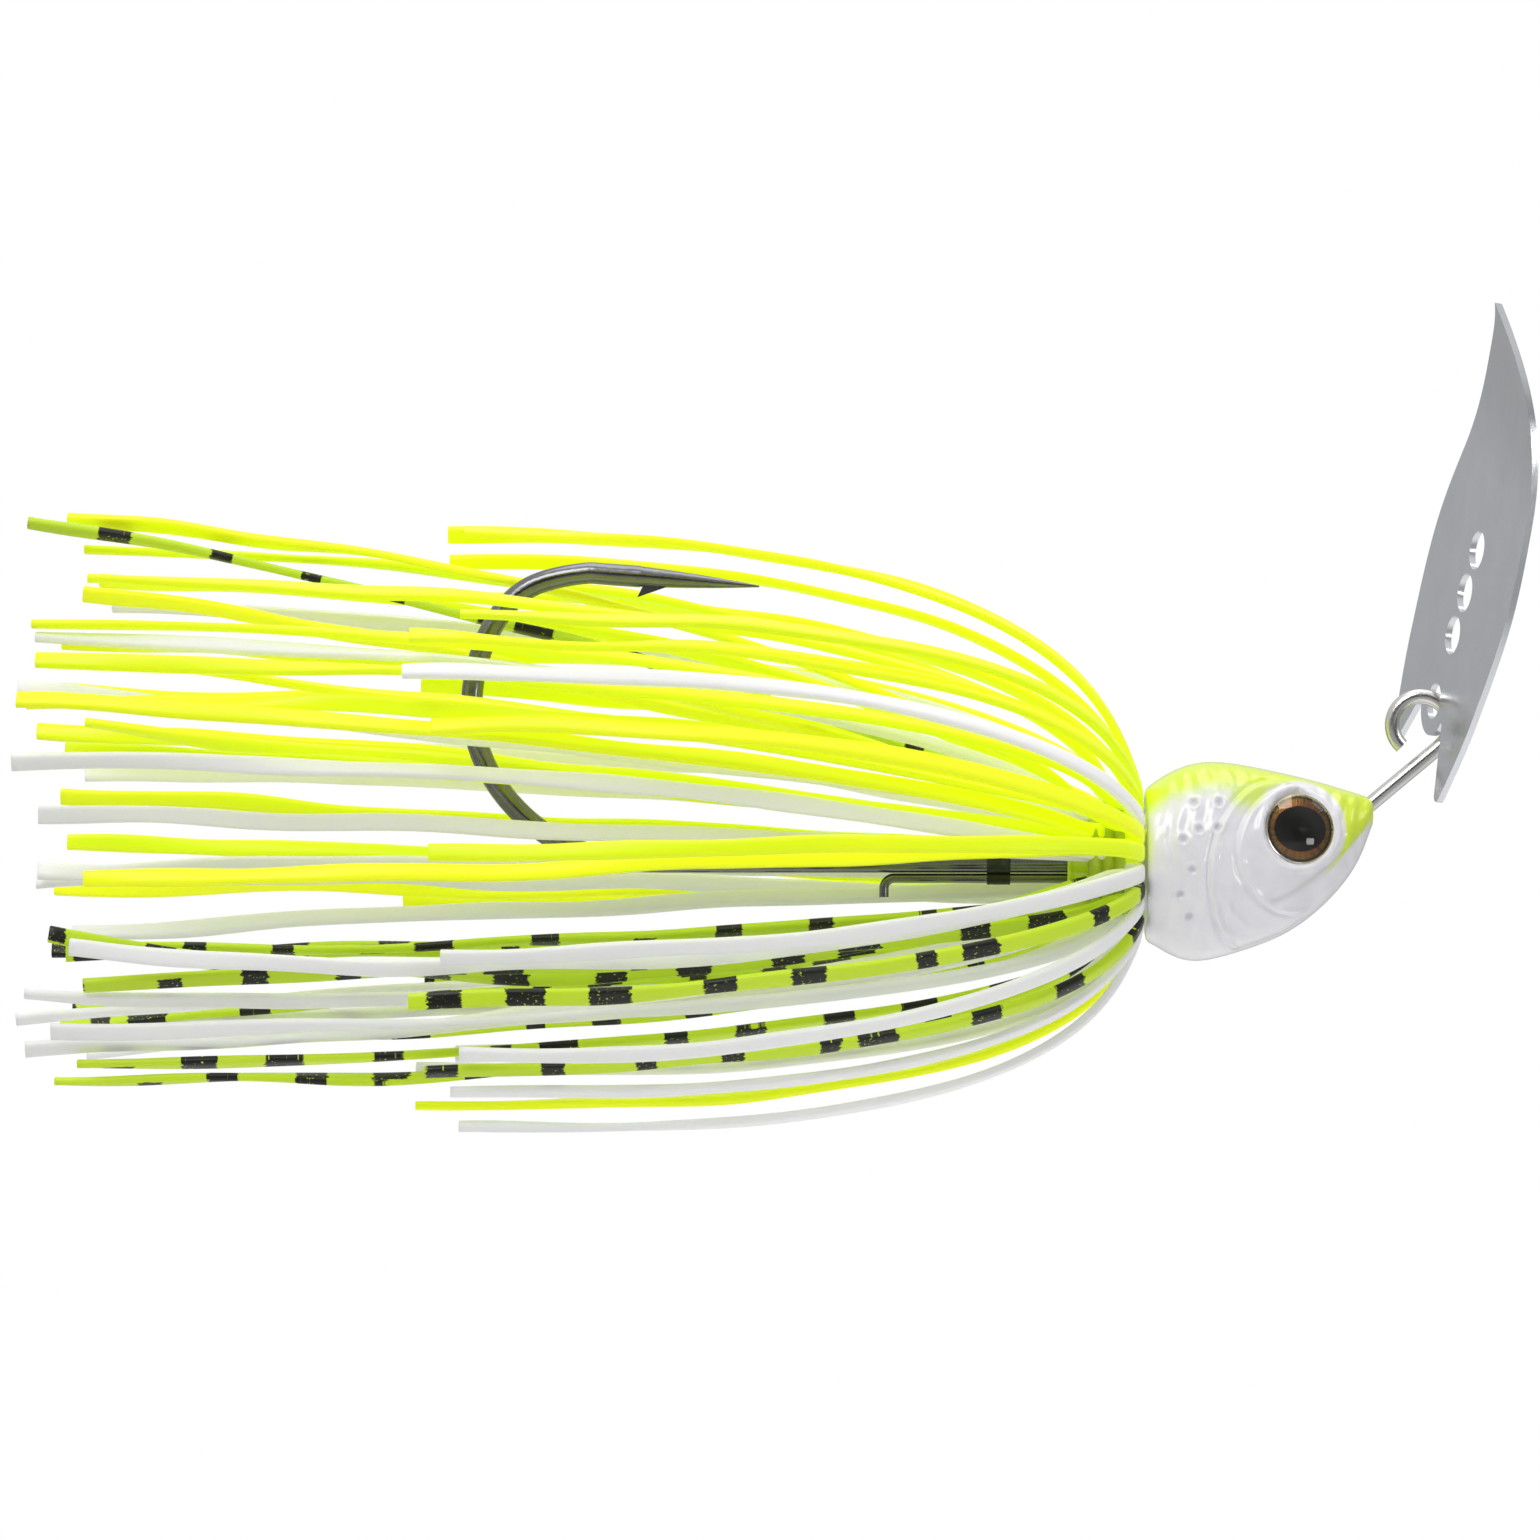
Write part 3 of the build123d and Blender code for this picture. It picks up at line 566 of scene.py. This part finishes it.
def strand_rails(node):
    """The four long corner lines of every strand in a CAD node, each from root to tip, in millimetres."""
    mesh = bmesh.new()
    mesh.from_mesh(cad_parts[node].data)
    bmesh.ops.remove_doubles(mesh, verts=mesh.verts, dist=1e-6)
    sharp = {v: [] for v in mesh.verts}
    for edge in mesh.edges:
        if len(edge.link_faces) == 2 and edge.calc_face_angle() > math.radians(45):
            for v in edge.verts:
                sharp[v].append(edge)
    corners = {v for v, edges in sharp.items() if len(edges) == 3}
    strands = {}
    for start in corners:
        for edge in sharp[start]:
            line, last, at = [start], edge, edge.other_vert(start)
            while at not in corners:
                line.append(at)
                last = next(e for e in sharp[at] if e is not last)
                at = last.other_vert(at)
            line.append(at)
            if len(line) > 2 and line[0].co.x > line[-1].co.x:
                strands.setdefault(island_key(start), []).append(np.array([v.co for v in line]) / MM)
    mesh.free()
    # A set of vertices has no fixed order, so each strand's lines are put in order of their root corners
    return [sorted(strands[key], key=lambda rail: tuple(rail[0].round(3))) for key in sorted(strands)]


def island_key(vert):
    """The lowest vertex number among those joined to this one."""
    seen, queue = {vert}, [vert]
    while queue:
        for edge in queue.pop().link_edges:
            for other in edge.verts:
                if other not in seen:
                    seen.add(other)
                    queue.append(other)
    return min(v.index for v in seen)


def distance_run(line):
    """How far each point is along a line of points."""
    return np.r_[0, np.cumsum(np.linalg.norm(np.diff(line, axis=0), axis=1))]


def read_at(places, run, values):
    """Vectors known at the distances in run, read off at other distances."""
    return np.stack([np.interp(places, run, values[:, k]) for k in range(3)], axis=1)


def resampled(line, count):
    run = distance_run(line)
    return read_at(np.linspace(0, run[-1], count), run, line)


def centreline(rails):
    """A strand's middle line and the directions across its width, from its four corner lines."""
    length = max(np.linalg.norm(np.diff(r, axis=0), axis=1).sum() for r in rails)
    count = int(length / RING_STEP) + 2
    lines = [resampled(r, count) for r in rails]
    middle = sum(lines) / 4
    _, beside, _ = sorted(range(1, 4), key=lambda k: np.linalg.norm(lines[k][0] - lines[0][0]))
    return middle, lines[0] - lines[beside]


def with_root(middle, across):
    """The line carried on to where the collar clamps it: the outer strands fold back over its front edge."""
    root = middle[0]
    outward = np.array([0, root[1], root[2]]) / np.hypot(root[1], root[2])
    radius = np.hypot(root[1], root[2])
    if root[0] > OUTER_ROOT_X:
        start = [outward * (radius + r) + [root[0] + x, 0, 0] for x, r in ROOT_FOLD]
        run = np.linalg.norm(middle - root, axis=1)
        middle = middle + np.exp(-run / ROOT_LEAN_RUN)[:, None] * [ROOT_LEAN, 0, 0]
    else:
        start = [outward * (radius - INNER_ROOT_SINK) + [root[0] + x, 0, 0] for x in INNER_ROOT_STEPS]
    line = np.vstack([start, middle])
    return line, np.vstack([np.repeat(across[:1], len(start), axis=0), across])


def slow_wave(s, chance, length):
    """A smooth wandering value along a strand, between about -1 and 1."""
    total = np.zeros_like(s)
    for _ in range(3):
        period = chance.uniform(0.7, 1.6) * length
        total += math.sqrt(1 / 3) * np.sin(2 * math.pi * s / period + chance.uniform(0, 2 * math.pi))
    return total


def strand_rings(rails, chance):
    """Ring centres, width and thickness directions and the distance run, for one visual strand."""
    line, across = with_root(*centreline(rails))
    run = distance_run(line)
    s = np.linspace(0, run[-1], int(run[-1] / RING_STEP) + 2)
    line, across = read_at(s, run, line), read_at(s, run, across)
    for _ in range(2):
        line[1:-1] = line[1:-1] * 0.5 + (line[:-2] + line[2:]) * 0.25
    along = np.gradient(line, axis=0)
    along /= np.linalg.norm(along, axis=1)[:, None]
    across -= along * (across * along).sum(1)[:, None]
    across /= np.linalg.norm(across, axis=1)[:, None]
    out = np.cross(along, across)
    loose = smooth(s, 8.0, 45.0)
    line = line + across * (WAVE * loose * slow_wave(s, chance, 22))[:, None]
    line = line + out * (WAVE * 0.6 * loose * slow_wave(s, chance, 18))[:, None]
    turn = TWIST * smooth(s, 10.0, 60.0) * slow_wave(s, chance, 45)
    wide = across * np.cos(turn)[:, None] + out * np.sin(turn)[:, None]
    thick = out * np.cos(turn)[:, None] - across * np.sin(turn)[:, None]
    return line, wide, thick, s


def add_strand(mesh, layers, rails, chance):
    """One strand as a rounded strip with a square-cut tip."""
    line, wide, thick, s = strand_rings(rails, chance)
    own = chance.random()
    girth = 1 + 0.05 * slow_wave(s, chance, 12)
    rings = list(zip(line[:-1], girth[:-1], s[:-1]))
    last_step = line[-1] - line[-2]
    shoulder = line[-1] - last_step / np.linalg.norm(last_step) * TIP_ROUND
    rings.append((shoulder, girth[-1], s[-1] - TIP_ROUND))
    rings.append((line[-1], girth[-1] * TIP_TAPER, s[-1]))
    made = []
    for k, (centre, size, run) in enumerate(rings):
        direction = min(k, len(line) - 1)
        ring = []
        for i in range(SECTION_POINTS):
            angle = 2 * math.pi * (i + 0.5) / SECTION_POINTS
            u, v = rounded(math.cos(angle)), rounded(math.sin(angle))
            aside = wide[direction] * (u * STRAND_HALF_WIDTH * size)
            above = thick[direction] * (v * STRAND_HALF_THICKNESS * size)
            vert = mesh.verts.new((centre + aside + above) * MM)
            vert[layers["along"]], vert[layers["across"]], vert[layers["own"]] = run, u, own
            ring.append(vert)
        made.append(ring)
    for a, b in zip(made, made[1:]):
        for i in range(SECTION_POINTS):
            j = (i + 1) % SECTION_POINTS
            mesh.faces.new((a[i], a[j], b[j], b[i])).smooth = True
    mesh.faces.new(list(reversed(made[0])))
    mesh.faces.new(made[-1])


def rounded(value):
    """Pushes a cosine towards the corners, so that the section is a rounded rectangle."""
    return math.copysign(abs(value) ** SECTION_SQUARENESS, value)


def skirt_pieces():
    """One piece for each node of strands, built along that node's strands from the head out to their tips."""
    looks = {
        "chartreuse": silicone("chartreuse_silicone", (0.66, 0.88, 0.003), (0.97, 1.0, 0.010), 0.26),
        "white": silicone("white_silicone", (0.80, 0.81, 0.81), (0.93, 0.92, 0.94), 0.12),
        "barred": silicone("barred_silicone", (0.46, 0.64, 0.015), (0.66, 0.86, 0.03), 0.14, bars=True),
    }
    chance = random.Random(SEED)
    for node in sorted(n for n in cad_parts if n.endswith("_strands")):
        side, sector, colour, _ = node.split("_")
        mesh = bmesh.new()
        layers = {name: mesh.verts.layers.float.new(name) for name in ("along", "across", "own")}
        for rails in strand_rails(node):
            add_strand(mesh, layers, rails, chance)
        bmesh.ops.recalc_face_normals(mesh, faces=mesh.faces)
        data = bpy.data.meshes.new(node.replace("_strands", "_skirt"))
        mesh.to_mesh(data)
        mesh.free()
        piece = new_object(data.name, data)
        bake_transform(piece)
        finish_piece(piece, None, looks[colour], f"{colour}_silicone", node)


# ---------------------------------------------------------------- CAD nodes that stay


def dress_hardware():
    black_nickel = metal("black_nickel", (0.12, 0.12, 0.13), (0.30, 0.30, 0.32), 0.09, (0.5, 4.0, 4.0), 0.08)
    bright_wire = metal("bright_wire", (0.62, 0.61, 0.59), (0.84, 0.83, 0.81), 0.08, (0.8, 6.0, 6.0), 0.2)
    looks = {
        "hook": black_nickel,
        "keeper_wire": black_nickel,
        "blade_loop": bright_wire,
        "keeper_sleeve": rubber("black_rubber", (0.012, 0.012, 0.012), (0.04, 0.04, 0.042), 0.42),
        "eye_lens_right": eye_lens(),
    }
    looks["eye_lens_left"] = looks["eye_lens_right"]
    for side in ("right", "left"):
        low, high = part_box(f"eye_disc_{side}")
        looks[f"eye_disc_{side}"] = eye_foil((low + high) / 2)
    for node, material in looks.items():
        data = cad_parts[node].data
        data.materials.clear()
        data.materials.append(material)


# ---------------------------------------------------------------- stage


def stage_floor():
    """A wide pale floor, which fades to plain white away from the lure."""
    mesh = bmesh.new()
    bmesh.ops.create_grid(mesh, x_segments=8, y_segments=8, size=6.0)
    data = bpy.data.meshes.new("floor")
    mesh.to_mesh(data)
    mesh.free()
    floor = new_object("floor", data)
    floor.location = (0, 0, FLOOR_Z * MM)
    g = Graph(new_material("floor_paper"))
    away = g.length(g.node("TexCoord").outputs["Object"])
    paper = g.node("BsdfDiffuse", Color=(0.9, 0.9, 0.9))
    seen = g.node("LightPath").outputs["Is Camera Ray"]
    white = g.node("Emission", Color=(1, 1, 1), Strength=g.math("ADD", 0.4, g.math("MULTIPLY", seen, 0.6)))
    mixed = g.node("MixShader")
    g.feed(mixed.inputs[0], g.step(away, 0.04, 0.14))
    g.feed(mixed.inputs[1], paper.outputs[0])
    g.feed(mixed.inputs[2], white.outputs[0])
    g.output(mixed.outputs[0])
    data.materials.append(g.owner)


def studio_world():
    """Plain white as seen by the camera. To other rays, a room bright above and dark behind the camera."""
    world = bpy.data.worlds.new("studio")
    bpy.context.scene.world = world
    g = Graph(world)
    parts = g.node("SeparateXYZ", Vector=g.node("TexCoord").outputs["Generated"])
    up = g.step(parts.outputs["Z"], -0.9, 1.0)
    room = g.math("ADD", ROOM_DARK, g.math("MULTIPLY", up, ROOM_RISE))
    to_camera = g.step(g.math("MULTIPLY", parts.outputs["Y"], -1.0), 0.55, 0.95)
    shade = g.math("SUBTRACT", 1.0, g.math("MULTIPLY", to_camera, BEHIND_CAMERA_DARKENING))
    room = g.math("MULTIPLY", room, shade)
    seen = g.node("LightPath").outputs["Is Camera Ray"]
    tone = g.math("MAXIMUM", room, seen)
    g.node("OutputWorld", Surface=g.node("Background", Color=tone).outputs[0])


def soft_light(name, place, size, watts):
    data = bpy.data.lights.new(name, "AREA")
    data.shape, data.size, data.size_y, data.energy = "RECTANGLE", size[0], size[1], watts
    light = new_object(name, data)
    light.location = place
    light.rotation_euler = (Vector(LIGHT_AIM) - Vector(place)).to_track_quat("-Z", "Y").to_euler()


def studio_camera():
    data = bpy.data.cameras.new("camera")
    data.sensor_width = SENSOR
    data.lens = SENSOR * CAMERA_DISTANCE / FRAME_WIDTH
    camera = new_object("camera", data)
    camera.location = (CAMERA_CENTRE[0] * MM, -CAMERA_DISTANCE * MM, CAMERA_CENTRE[1] * MM)
    camera.rotation_euler = (math.radians(90), 0, 0)
    bpy.context.scene.camera = camera
    bpy.context.scene.view_settings.view_transform = "Standard"


head_shell()
blade_plate()
collar_band()
skirt_pieces()
dress_hardware()
stage_floor()
studio_world()
for name, settings in LIGHTS.items():
    soft_light(name, **settings)
studio_camera()
